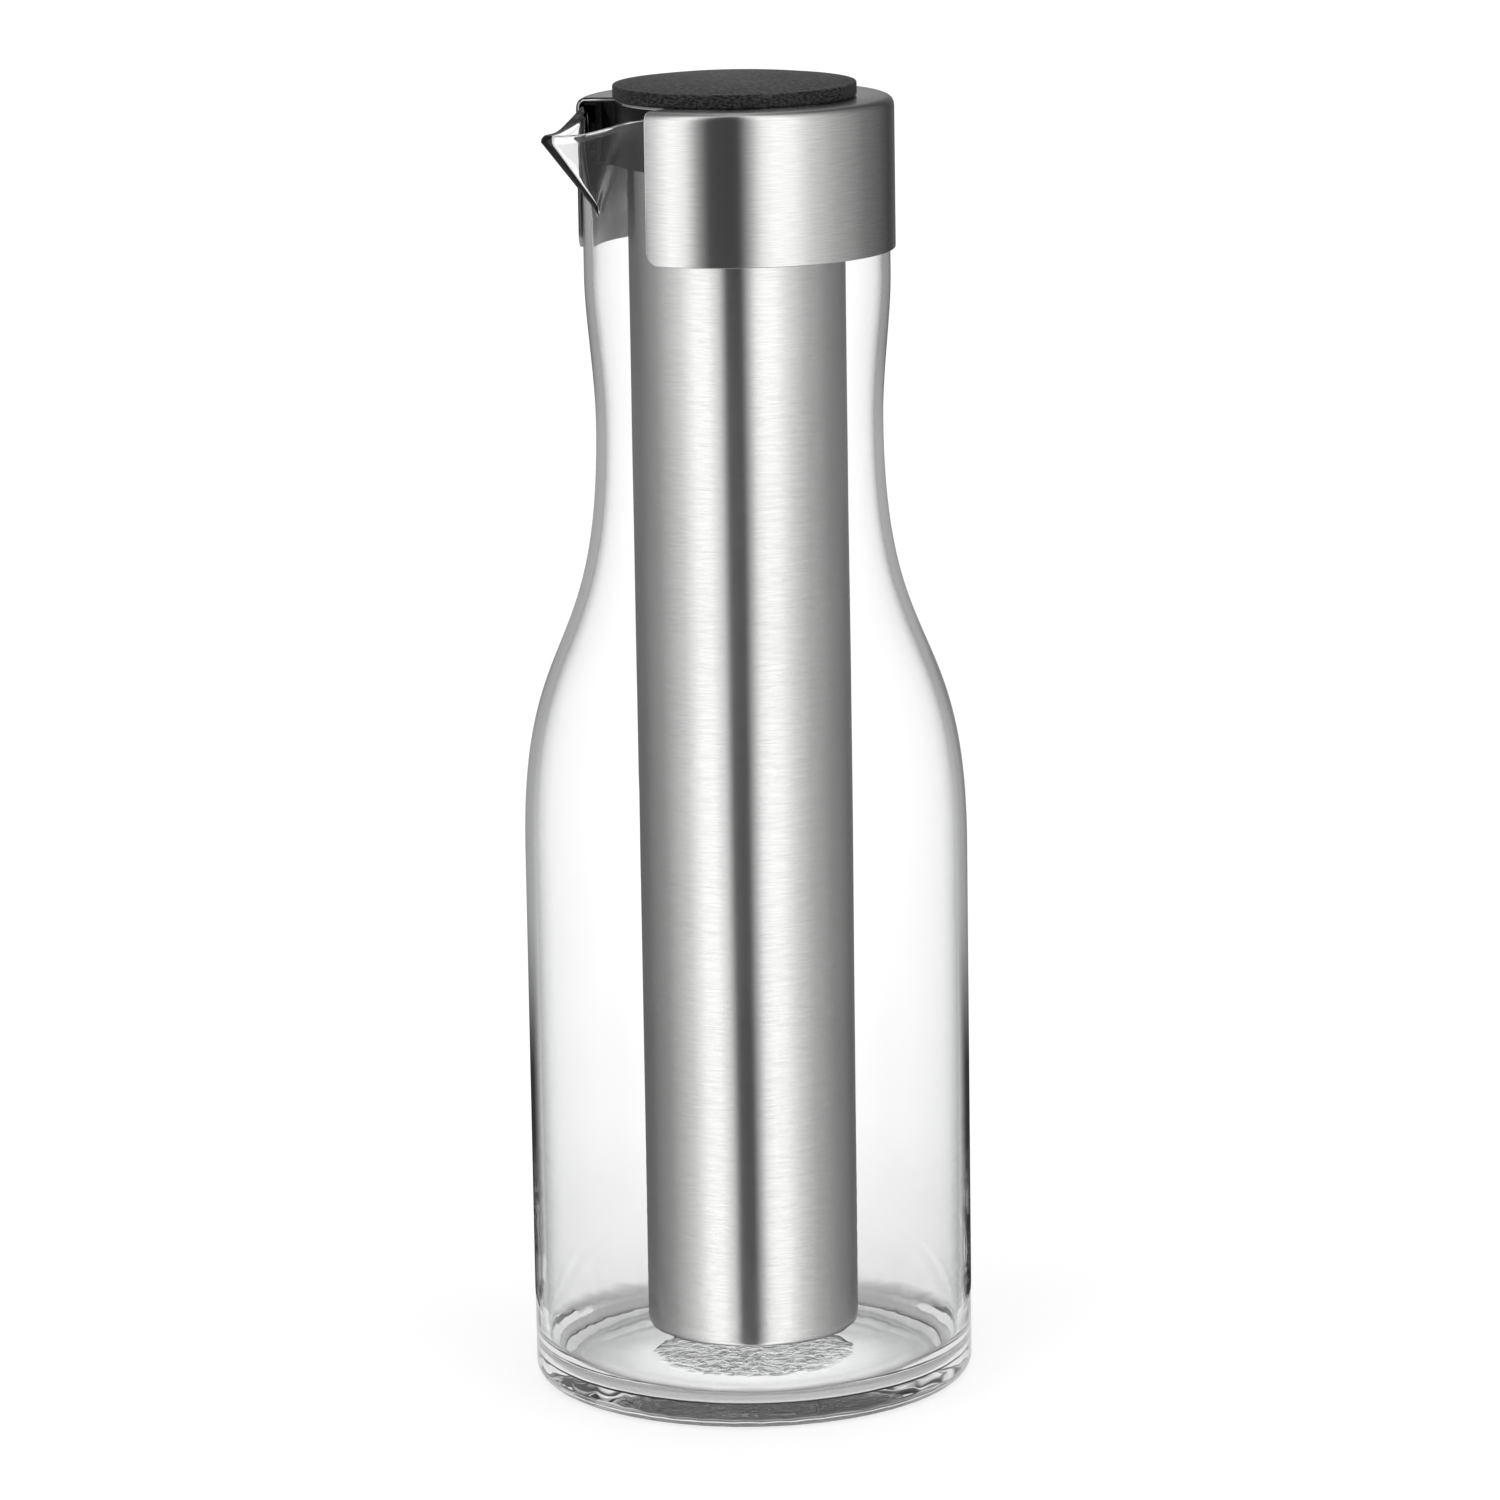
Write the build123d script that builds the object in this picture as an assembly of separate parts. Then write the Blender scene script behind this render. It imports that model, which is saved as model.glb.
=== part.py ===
import os
from math import atan2, radians, sin, tan

from build123d import *

# All sizes in millimetres. The carafe stands on Z = 0 and pours along -X.

# Glass carafe, outside
body_radius = 50.0
heel_radius = 3.5
foot_width = 7.0
punt_rise = 0.8
shoulder_z = 123.0
shoulder_pull = 52.5
waist_room = 6.0
waist_z = 219.9
waist_pull = 56.3
flare_pull = 11.0
neck_room = 8.2
neck_z = 252.5
neck_pull = 9.0
rim_z = 290.7
rim_round_outer = 0.8
rim_round_inner = 0.5

# Glass carafe, inside
wall_body = 2.6
wall_waist = 2.0
wall_neck = 1.8
floor_z = 4.2
floor_corner = 8.0

# Pouring lip: a V with its root on a chord inside the neck, from its foot up to the rim
lip_overhang = 14.3
lip_drop = 5.6
lip_sag = 1.7
lip_height = 22.5
lip_inset = 4.3
lip_bend_inset = 4.6
lip_foot_half = 1.5
lip_foot_round = 0.4
lip_half_width = 17.5
lip_round = 2.0
lip_wall = 1.9

# Ice tube and its base
tube_radius = 24.1
tube_sheet = 0.6
tube_bottom_z = 11.6
tube_flange = 1.3
base_corner = 1.8
base_height = 3.4
base_sheet = 0.8
base_spigot = 5.0

# Collar
collar_gap = 0.5
collar_sheet = 0.7
collar_skirt = 33.6
collar_corner = 2.5
collar_end_round = 3.0
window_half_angle = 30.4
bridge_wall = 1.0

# Neck insert and neck seal
insert_height = 13.7
insert_gap = 0.9
insert_lip = 1.9
insert_lip_height = 1.5
channel_half_angle = 28.0
seal_wall = 1.4
seal_flange = 0.7
seal_flange_relief = 0.35
seal_lip_height = 1.2
seal_lip_spacing = 4.6

# Lid
lid_overlap = 0.64
lid_edge = 2.9
lid_dome = 1.9
lid_foot = 0.3
lid_foot_width = 1.2
lid_edge_round = 0.25
spigot_depth = 5.0
spigot_wall = 1.6
stopper_gap = 1.9
stopper_depth = 15.0
stopper_wall = 1.6
lid_seal_wall = 1.0
lid_seal_height = 8.0
lid_seal_lip_height = 1.2
lid_seal_top_gap = 3.0

# Clearances
weld_gap = 0.02
fit_gap = 0.05
seal_gap = 0.3
lid_seal_gap = 0.1

# Heights and radii that follow from the sizes above
plate_under_z = rim_z + seal_flange
collar_top_z = plate_under_z + collar_sheet
collar_bottom_z = collar_top_z - collar_skirt
insert_bottom_z = plate_under_z - insert_height
seal_bottom_z = insert_bottom_z + insert_lip_height
bore_radius = tube_radius - tube_sheet
flange_radius = tube_radius + tube_flange
bridge_radius = flange_radius + bridge_wall
lid_radius = bridge_radius + lid_overlap
waist_bore = tube_radius + waist_room
waist_radius = waist_bore + wall_waist
neck_bore = tube_radius + neck_room
neck_radius = neck_bore + wall_neck
insert_lip_radius = neck_bore - insert_gap
insert_radius = insert_lip_radius - insert_lip
collar_bore = neck_radius + collar_gap
collar_radius = collar_bore + collar_sheet
bend_radius = collar_radius - collar_corner
stopper_radius = bore_radius - stopper_gap
lid_under_z = collar_top_z + lid_foot
over = 40.0


def turned(*edges):
    """A solid of revolution about Z from outline edges given as radius and height."""
    return revolve(Plane.XZ * make_face(edges), Axis.Z)


def disc(radius, low, high):
    """A plain round about Z."""
    return Pos(0, 0, low) * extrude(Circle(radius), high - low)


def ring(inner, outer, low, high):
    """A plain ring about Z."""
    return disc(outer, low, high) - disc(inner, low, high)


def wedge(half_angle, inner):
    """A full-height sector over the pouring lip that starts at the inner radius."""
    reach = body_radius + over
    side = reach * tan(radians(half_angle))
    sector = make_face(Polyline((0, 0), (-reach, side), (-reach, -side), close=True))
    return extrude(sector - Circle(inner), rim_z + over)


# Glass carafe
foot_radius = body_radius - heel_radius
foot_inner = foot_radius - foot_width
outside = turned(
    Bezier((0, punt_rise), (foot_inner / 2, punt_rise), (foot_inner, 0)),
    Line((foot_inner, 0), (foot_radius, 0)),
    JernArc((foot_radius, 0), (1, 0), heel_radius, 90),
    Line((body_radius, heel_radius), (body_radius, shoulder_z)),
    Bezier(
        (body_radius, shoulder_z),
        (body_radius, shoulder_z + shoulder_pull),
        (waist_radius, waist_z - waist_pull),
        (waist_radius, waist_z),
    ),
    Bezier(
        (waist_radius, waist_z),
        (waist_radius, waist_z + flare_pull),
        (neck_radius, neck_z - neck_pull),
        (neck_radius, neck_z),
    ),
    Line((neck_radius, neck_z), (neck_radius, rim_z - rim_round_outer)),
    JernArc((neck_radius, rim_z - rim_round_outer), (0, 1), rim_round_outer, 90),
    Line((neck_radius - rim_round_outer, rim_z), (0, rim_z)),
    Line((0, rim_z), (0, punt_rise)),
)

body_bore = body_radius - wall_body
corner_radius = body_bore - floor_corner
inside = turned(
    Line((0, floor_z), (corner_radius, floor_z)),
    JernArc((corner_radius, floor_z), (1, 0), floor_corner, 90),
    Line((body_bore, floor_z + floor_corner), (body_bore, shoulder_z)),
    Bezier(
        (body_bore, shoulder_z),
        (body_bore, shoulder_z + shoulder_pull),
        (waist_bore, waist_z - waist_pull),
        (waist_bore, waist_z),
    ),
    Bezier(
        (waist_bore, waist_z),
        (waist_bore, waist_z + flare_pull),
        (neck_bore, neck_z - neck_pull),
        (neck_bore, neck_z),
    ),
    Line((neck_bore, neck_z), (neck_bore, rim_z - rim_round_inner)),
    JernArc((neck_bore, rim_z - rim_round_inner), (0, 1), rim_round_inner, -90),
    Line((neck_bore + rim_round_inner, rim_z), (0, rim_z)),
    Line((0, rim_z), (0, floor_z)),
)

# The lip is a pinched V that leans out from its foot on the neck up to the rim.
lip_tip_z = rim_z - lip_drop
lip_foot_z = rim_z - lip_height
lip_low_z = lip_foot_z - wall_neck
lip_lean = lip_overhang / (lip_tip_z - lip_foot_z)
lip_reach = neck_radius + lip_overhang
lip_root = neck_bore - lip_inset
lip_bend = neck_radius - lip_bend_inset


def lip_section(height, half, nose, thinner):
    """A horizontal slice of the lip: a V with a rounded ridge, moved in by the wall for the inside."""
    tip = neck_radius + lip_lean * (height - lip_foot_z) - lip_root
    angle = atan2(half, tip)
    tip -= thinner / sin(angle)
    half = tip * tan(angle)
    slice_face = make_face(Polyline((-lip_root, half), (-lip_root - tip, 0), (-lip_root, -half), close=True))
    ridge = slice_face.vertices().sort_by(Axis.X)[0]
    return Pos(0, 0, height) * fillet(ridge, nose)


lip_outside = loft(
    [
        lip_section(lip_low_z, lip_foot_half, lip_foot_round, 0),
        lip_section(rim_z, lip_half_width, lip_round, 0),
    ],
    ruled=True,
)
lip_inside = loft(
    [
        lip_section(lip_low_z, lip_foot_half, lip_foot_round / 4, lip_foot_round),
        lip_section(rim_z, lip_half_width, lip_round / 2, lip_wall),
    ],
    ruled=True,
)
lip_chord_z = rim_z - lip_drop / 2
lip_trim = Plane.XZ * make_face(
    [
        Bezier(
            (-lip_bend, rim_z),
            (-(lip_bend + lip_reach) / 2, lip_chord_z - lip_sag),
            (-lip_reach, lip_tip_z),
        ),
        Line((-lip_reach, lip_tip_z), (-lip_reach - over, lip_tip_z)),
        Line((-lip_reach - over, lip_tip_z), (-lip_reach - over, rim_z)),
        Line((-lip_reach - over, rim_z), (-lip_bend, rim_z)),
    ]
)
glass = outside + lip_outside
glass -= inside
glass -= lip_inside
glass -= extrude(lip_trim, body_radius, both=True)

# The glass is one blown piece. It is handed on as two nodes that meet at the shoulder, each simple enough to stay
# open inside when collision is made from it.
glass_body = glass & disc(body_radius + over, -over, shoulder_z)
glass_neck = glass - disc(body_radius + over, -over, shoulder_z + weld_gap)

# Ice tube with a small flange at its mouth
weld_z = tube_bottom_z + base_height
ice_tube = ring(bore_radius, tube_radius, weld_z, plate_under_z)
ice_tube += ring(bore_radius, flange_radius, plate_under_z - tube_sheet, plate_under_z)

# Tube base: a pressed dish with a spigot inside the tube
spigot_outer = bore_radius - weld_gap
spigot_inner = spigot_outer - base_sheet
spigot_top_z = weld_z + base_spigot
tube_base = turned(
    Line((0, tube_bottom_z), (tube_radius - base_corner, tube_bottom_z)),
    JernArc((tube_radius - base_corner, tube_bottom_z), (1, 0), base_corner, 90),
    Line((tube_radius, tube_bottom_z + base_corner), (tube_radius, weld_z)),
    Line((tube_radius, weld_z), (spigot_outer, weld_z)),
    Line((spigot_outer, weld_z), (spigot_outer, spigot_top_z)),
    Line((spigot_outer, spigot_top_z), (spigot_inner, spigot_top_z)),
    Line((spigot_inner, spigot_top_z), (spigot_inner, tube_bottom_z + base_corner)),
    Line((spigot_inner, tube_bottom_z + base_corner), (tube_radius - base_corner, tube_bottom_z + base_sheet)),
    Line((tube_radius - base_corner, tube_bottom_z + base_sheet), (0, tube_bottom_z + base_sheet)),
    Line((0, tube_bottom_z + base_sheet), (0, tube_bottom_z)),
)

# Collar: drawn band and flat top, open over the lip, with a narrow bridge left round the tube's mouth
collar = turned(
    Line((collar_bore, collar_bottom_z), (collar_radius, collar_bottom_z)),
    Line((collar_radius, collar_bottom_z), (collar_radius, collar_top_z - collar_corner)),
    JernArc((collar_radius, collar_top_z - collar_corner), (0, 1), collar_corner, 90),
    Line((bend_radius, collar_top_z), (bore_radius, collar_top_z)),
    Line((bore_radius, collar_top_z), (bore_radius, plate_under_z)),
    Line((bore_radius, plate_under_z), (bend_radius, plate_under_z)),
    JernArc((bend_radius, plate_under_z), (1, 0), collar_corner - collar_sheet, -90),
    Line((collar_bore, collar_top_z - collar_corner), (collar_bore, collar_bottom_z)),
)
collar -= wedge(window_half_angle, bridge_radius)
window_corners = collar.edges().filter_by(GeomType.LINE).group_by(Axis.Z)[0]
collar = fillet(window_corners, collar_end_round)

# Neck insert: carries the seal, with a channel cut back to the bridge for pouring
neck_insert = ring(tube_radius + fit_gap, insert_radius, insert_bottom_z, plate_under_z)
neck_insert += ring(tube_radius + fit_gap, insert_lip_radius, insert_bottom_z, seal_bottom_z)
neck_insert -= disc(flange_radius + fit_gap, plate_under_z - tube_sheet, plate_under_z)
neck_insert -= wedge(channel_half_angle, bridge_radius)

# Neck seal: sleeve, two lips toward the neck and a flange on the rim, open at the channel
seal_bore = insert_radius + fit_gap
lip_outer = neck_bore - seal_gap
neck_seal = ring(seal_bore, seal_bore + seal_wall, seal_bottom_z, plate_under_z)
flange_outer = neck_radius - rim_round_outer
neck_seal += turned(
    Polyline(
        (seal_bore, rim_z),
        (flange_outer, rim_z),
        (flange_outer, plate_under_z - seal_flange_relief),
        (bend_radius, plate_under_z),
        (seal_bore, plate_under_z),
        close=True,
    )
)
for lip in range(2):
    low = seal_bottom_z + seal_lip_height + lip * seal_lip_spacing
    neck_seal += ring(seal_bore, lip_outer, low, low + seal_lip_height)
neck_seal -= wedge(channel_half_angle, bridge_radius)

# Lid cap: domed disc on a thin foot, with a spigot for the stopper
dome_z = lid_under_z + lid_edge
stopper_bore = stopper_radius - stopper_wall
cap_spigot = stopper_bore - fit_gap
lid_cap = turned(
    Line((0, lid_under_z), (lid_radius, lid_under_z)),
    Line((lid_radius, lid_under_z), (lid_radius, dome_z - lid_edge_round)),
    JernArc((lid_radius, dome_z - lid_edge_round), (0, 1), lid_edge_round, 90),
    Bezier((lid_radius - lid_edge_round, dome_z), (lid_radius / 2, dome_z + lid_dome), (0, dome_z + lid_dome)),
    Line((0, dome_z + lid_dome), (0, lid_under_z)),
)
lid_cap += ring(bridge_radius - lid_foot_width, bridge_radius, collar_top_z, lid_under_z)
lid_cap += ring(cap_spigot - spigot_wall, cap_spigot, lid_under_z - spigot_depth, lid_under_z)

# Lid stopper: cup pressed over the cap's spigot, with a groove for its seal
stopper_bottom_z = lid_under_z - stopper_depth
lid_seal_top_z = lid_under_z - lid_seal_top_gap
lid_seal_bottom_z = lid_seal_top_z - lid_seal_height
groove_radius = stopper_radius - stopper_wall / 2
lid_stopper = disc(stopper_radius, stopper_bottom_z, lid_under_z)
lid_stopper -= disc(stopper_bore, stopper_bottom_z + stopper_wall, lid_under_z)
lid_stopper -= ring(groove_radius, stopper_radius, lid_seal_bottom_z, lid_seal_top_z)

# Lid seal: silicone ring in the groove with a lip at each end
lid_seal = ring(groove_radius, groove_radius + lid_seal_wall, lid_seal_bottom_z, lid_seal_top_z)
lid_lip = bore_radius - lid_seal_gap
lid_seal += ring(groove_radius, lid_lip, lid_seal_bottom_z, lid_seal_bottom_z + lid_seal_lip_height)
lid_seal += ring(groove_radius, lid_lip, lid_seal_top_z - lid_seal_lip_height, lid_seal_top_z)

os.makedirs("parts", exist_ok=True)
pieces = {
    "glass_body": glass_body,
    "glass_neck": glass_neck,
    "ice_tube": ice_tube,
    "tube_base": tube_base,
    "collar": collar,
    "neck_insert": neck_insert,
    "neck_seal": neck_seal,
    "lid_cap": lid_cap,
    "lid_stopper": lid_stopper,
    "lid_seal": lid_seal,
}
for name, piece in pieces.items():
    piece.label = name
    export_step(piece, f"parts/{name}.step")
    box = piece.bounding_box()
    print(name, len(piece.solids()), round(piece.volume), [round(v, 2) for v in (*box.min, *box.max)])
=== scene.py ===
# %% [markdown]
# # A glass carafe with an ice core
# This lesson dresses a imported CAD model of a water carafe: a blown glass body, a brushed steel collar, a steel
# tube for ice and a black lid. The CAD model gives every size. Here each piece is turned again as a fine mesh,
# because glass and brushed metal show every facet, and each gets the finish of the real thing.

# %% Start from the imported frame
import bpy
import math
import numpy as np
from mathutils import Matrix, Vector


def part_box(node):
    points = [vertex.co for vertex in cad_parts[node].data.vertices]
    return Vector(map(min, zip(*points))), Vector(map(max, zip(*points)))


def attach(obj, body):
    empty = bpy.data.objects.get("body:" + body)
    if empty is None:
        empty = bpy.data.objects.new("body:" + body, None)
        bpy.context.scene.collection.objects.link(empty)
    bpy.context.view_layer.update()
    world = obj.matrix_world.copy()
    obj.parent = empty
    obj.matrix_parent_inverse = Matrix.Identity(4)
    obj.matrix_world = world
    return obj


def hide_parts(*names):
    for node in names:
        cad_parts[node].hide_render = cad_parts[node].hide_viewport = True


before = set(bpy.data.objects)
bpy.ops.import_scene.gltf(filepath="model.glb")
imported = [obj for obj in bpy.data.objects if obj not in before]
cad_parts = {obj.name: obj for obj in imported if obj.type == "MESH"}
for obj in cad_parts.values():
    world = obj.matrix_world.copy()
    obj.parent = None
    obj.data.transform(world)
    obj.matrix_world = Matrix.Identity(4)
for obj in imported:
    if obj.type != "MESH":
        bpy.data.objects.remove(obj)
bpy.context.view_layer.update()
MM = 0.001
print("nodes", sorted(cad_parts))


# %% [markdown]
# ## Reading sizes off the frame
# The radii and heights of the pieces are already in the CAD nodes, so they are measured there. A node's box gives
# its widest radius, its lowest and its highest point.

# %% Radii and heights from the CAD nodes
def span(node):
    """Widest radius, lowest and highest point of a CAD node, in millimetres."""
    low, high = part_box(node)
    return high.y / MM, low.z / MM, high.z / MM


body_radius, _, _ = span("glass_body")
body_radius -= 0.01  # a hair inside the CAD facets
_, _, rim_z = span("glass_neck")
collar_radius, collar_low, collar_top = span("collar")
flange_radius, weld_z, plate_under = span("ice_tube")
tube_radius, tube_low, spigot_top = span("tube_base")
insert_lip_radius, insert_low, _ = span("neck_insert")
seal_flange_radius, seal_low, _ = span("neck_seal")
lid_radius, spigot_low, lid_top = span("lid_cap")
stopper_radius, stopper_low, lid_under = span("lid_stopper")
lid_lip_radius, lid_seal_low, lid_seal_high = span("lid_seal")
print("body radius", round(body_radius, 2), "rim", round(rim_z, 2), "lid top", round(lid_top, 2))


# %% [markdown]
# ## Turning pieces on a lathe
# Nearly every piece here was made on a round tool: blown in a turning mould, drawn, rolled or moulded. A lathe
# function that sweeps an outline round the axis gives exactly that, with clean rows of quads. Real edges are never
# knife sharp, so a second function rounds the corners of an outline. The angle is zero at the pouring lip, on -X.

# %% Corner rounding and the lathe
def rounded(corners, steps=5):
    """An outline from (radius, height, corner rounding) triples. The first and last corners stay sharp."""
    points = [np.array(corners[0][:2], float)]
    for before, here, after in zip(corners, corners[1:], corners[2:]):
        p = np.array(here[:2], float)
        a = np.array(before[:2], float) - p
        b = np.array(after[:2], float) - p
        la, lb = np.linalg.norm(a), np.linalg.norm(b)
        cut = min(here[2], 0.49 * la, 0.49 * lb)
        if cut <= 0:
            points.append(p)
            continue
        start, end = p + a / la * cut, p + b / lb * cut
        for t in np.linspace(0, 1, steps + 1):
            points.append((1 - t) ** 2 * start + 2 * t * (1 - t) * p + t ** 2 * end)
    points.append(np.array(corners[-1][:2], float))
    return np.array(points)


def bezier(points, count):
    """Points along a Bezier curve of any degree."""
    t = np.linspace(0, 1, count)[:, None]
    degree = len(points) - 1
    weights = [math.comb(degree, i) * (1 - t) ** (degree - i) * t ** i for i in range(degree + 1)]
    return sum(weight * np.array(p, float) for weight, p in zip(weights, points))


def to_object(name, vertices, faces, body, material, nodes):
    """A smooth mesh piece in metres that rides on a body and stands for CAD nodes."""
    mesh = bpy.data.meshes.new(name)
    mesh.from_pydata([tuple(v) for v in np.asarray(vertices) * MM], [], faces)
    mesh.validate()
    mesh.shade_smooth()
    obj = bpy.data.objects.new(name, mesh)
    bpy.context.scene.collection.objects.link(obj)
    mesh.materials.append(material)
    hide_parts(*nodes)
    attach(obj, body)
    print(name, len(mesh.vertices), "vertices")
    return obj


def turned(outline, angles, closed_loop):
    """Vertices and faces of an outline swept through the angles, in degrees from the lip."""
    full = abs(angles[-1] - angles[0] - 360) < 1e-6
    turn = np.radians(angles[:-1] if full else angles)
    rows, columns = len(outline), len(turn)
    vertices = np.empty((columns, rows, 3))
    vertices[:, :, 0] = -np.cos(turn)[:, None] * outline[None, :, 0]
    vertices[:, :, 1] = -np.sin(turn)[:, None] * outline[None, :, 0]
    vertices[:, :, 2] = outline[None, :, 1]
    faces = []
    for c in range(columns if full else columns - 1):
        d = (c + 1) % columns
        for r in range(rows if closed_loop else rows - 1):
            s = (r + 1) % rows
            quad = [c * rows + r, d * rows + r, d * rows + s, c * rows + s]
            faces.append(quad)
    if not full:
        faces.append(list(range(rows))[::-1])
        faces.append([(columns - 1) * rows + r for r in range(rows)])
    return vertices.reshape(-1, 3), faces


ALL_ROUND = np.linspace(-180, 180, 241)
print("lathe ready, full turn in", len(ALL_ROUND) - 1, "steps")


# %% [markdown]
# ## Helpers for finishes
# Colours are written as they look on a screen, as sRGB hex values, and one function turns them into the linear
# values that Blender renders with. One more adds a node with its settings and links, so a finish reads as a list.

# %% Colour and node helpers
def linear(hex_colour):
    """Linear RGBA of an sRGB hex colour."""
    parts = [int(hex_colour[i:i + 2], 16) / 255 for i in (1, 3, 5)]
    return tuple(c / 12.92 if c <= 0.04045 else ((c + 0.055) / 1.055) ** 2.4 for c in parts) + (1.0,)


def add(tree, kind, links=None, values=None, **settings):
    """Adds a node, sets its properties and socket values, and links sockets into it."""
    node = tree.nodes.new(kind)
    for key, value in settings.items():
        setattr(node, key, value)
    for key, value in (values or {}).items():
        node.inputs[key].default_value = value
    for key, socket in (links or {}).items():
        tree.links.new(socket, node.inputs[key])
    return node


def new_finish(name):
    """An empty material and its node tree with an output."""
    material = bpy.data.materials.new(name)
    material.use_nodes = True
    material.node_tree.nodes.clear()
    return material, material.node_tree, add(material.node_tree, "ShaderNodeOutputMaterial")


# %% [markdown]
# ## Soda-lime glass
# The body is blown soda-lime glass, clear with a refractive index near 1.5. The eye knows it by its dark outline:
# at the sides the line of sight runs a long way through the wall. There a Layer Weight node paints shade into the
# glass colour, darker still low down, and the clear middle stays white. Under the base, the mould leaves a rough
# chilled patch about as wide as a tea light, which is a noise bump inside a circle on the outside of the floor; shade
# is painted into its pits. Blowing also leaves cords, faint drawn-out waves low in the wall. They are much shallower
# than the mark and show only near the sides.

# %% Glass: the chilled mark under the floor
CHILL_RADIUS = 23.0
CHILL_GRAIN = 2.6
CHILL_DEPTH = 0.7
CHILL_TOP = 2.0
CORD_MM = 4.0
CORD_DEPTH = 0.05
CORD_STRETCH = 6.0
glass, tree, out = new_finish("blown_soda_lime_glass")
where = add(tree, "ShaderNodeTexCoord")
axes = add(tree, "ShaderNodeSeparateXYZ", {0: where.outputs["Object"]})
flat = add(tree, "ShaderNodeCombineXYZ", {"X": axes.outputs["X"], "Y": axes.outputs["Y"]})
radius = add(tree, "ShaderNodeVectorMath", {0: flat.outputs[0]}, operation="LENGTH")
edge_noise = add(
    tree, "ShaderNodeTexNoise", {"Vector": where.outputs["Object"]}, {"Scale": 1 / (6 * MM), "Detail": 2.0})
wander = add(
    tree, "ShaderNodeMath", {0: edge_noise.outputs["Fac"]}, {1: 3 * MM, 2: -1.5 * MM}, operation="MULTIPLY_ADD")
ragged = add(tree, "ShaderNodeMath", {0: radius.outputs["Value"], 1: wander.outputs[0]}, operation="ADD")
inside_patch = add(
    tree, "ShaderNodeMapRange", {"Value": ragged.outputs[0]},
    {"From Min": CHILL_RADIUS * MM, "From Max": (CHILL_RADIUS - 3) * MM}, clamp=True)
underside = add(
    tree, "ShaderNodeMapRange", {"Value": axes.outputs["Z"]},
    {"From Min": (CHILL_TOP + 0.2) * MM, "From Max": (CHILL_TOP - 0.2) * MM})
patch = add(tree, "ShaderNodeMath", {0: inside_patch.outputs[0], 1: underside.outputs[0]}, operation="MULTIPLY")
pits = add(
    tree, "ShaderNodeTexNoise", {"Vector": where.outputs["Object"]},
    {"Scale": 1 / (CHILL_GRAIN * MM), "Detail": 3.0, "Roughness": 0.65})
pit_height = add(tree, "ShaderNodeMath", {0: pits.outputs["Fac"], 1: patch.outputs[0]}, operation="MULTIPLY")

# %% Glass: cords in the wall
drawn_out = add(
    tree, "ShaderNodeVectorMath", {0: where.outputs["Object"]}, {1: (1.0, 1.0, CORD_STRETCH)}, operation="MULTIPLY")
tilted = add(
    tree, "ShaderNodeMapping", {"Vector": drawn_out.outputs[0]}, {"Rotation": (0.35, 0.25, 0.0)})
cords = add(
    tree, "ShaderNodeTexNoise", {"Vector": tilted.outputs[0]},
    {"Scale": 1 / (CORD_MM * CORD_STRETCH * MM), "Detail": 1.0})
cord_zone = add(
    tree, "ShaderNodeMapRange", {"Value": axes.outputs["Z"]}, {"From Min": 80 * MM, "From Max": 40 * MM},
    interpolation_type="SMOOTHSTEP")
cord_height = add(tree, "ShaderNodeMath", {0: cords.outputs["Fac"], 1: cord_zone.outputs[0]}, operation="MULTIPLY")
cord_bump = add(
    tree, "ShaderNodeBump", {"Height": cord_height.outputs[0]}, {"Strength": 1.0, "Distance": CORD_DEPTH * MM})
pit_bump = add(
    tree, "ShaderNodeBump", {"Height": pit_height.outputs[0], "Normal": cord_bump.outputs["Normal"]},
    {"Strength": 1.0, "Distance": CHILL_DEPTH * MM})
print("relief: mark", CHILL_DEPTH, "mm, cords", CORD_DEPTH, "mm")

# %% Glass: the finish, whose dark outline lets the eye see clear glass on white
# The dark outline is painted shade in the glass colour: a Layer Weight ramp darkens it towards the sides, and more so
# low down.
PAINTED_OUTLINE_SHADE = (
    (0.45, "#FFFFFF"), (0.64, "#FAFBFB"), (0.76, "#ECEFEF"), (0.85, "#C2C7C7"), (0.95, "#5A5E5E"))
rough = add(tree, "ShaderNodeMath", {0: patch.outputs[0]}, {1: 0.04, 2: 0.0}, operation="MULTIPLY_ADD")
facing = add(tree, "ShaderNodeLayerWeight", values={"Blend": 0.5})
painted_low_shade = add(
    tree, "ShaderNodeMapRange", {"Value": axes.outputs["Z"]},
    {"From Min": 20 * MM, "From Max": 240 * MM, "To Min": 0.06, "To Max": -0.14}, interpolation_type="SMOOTHSTEP")
edge = add(
    tree, "ShaderNodeMath", {0: facing.outputs["Facing"], 1: painted_low_shade.outputs[0]}, operation="ADD", use_clamp=True)
painted_outline_shade = add(tree, "ShaderNodeValToRGB", {"Fac": edge.outputs[0]})
for position, hex_colour in PAINTED_OUTLINE_SHADE:
    stop = painted_outline_shade.color_ramp.elements.new(position)
    stop.color = linear(hex_colour)
painted_outline_shade.color_ramp.elements.remove(painted_outline_shade.color_ramp.elements[0])
painted_outline_shade.color_ramp.elements.remove(painted_outline_shade.color_ramp.elements[-1])
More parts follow.
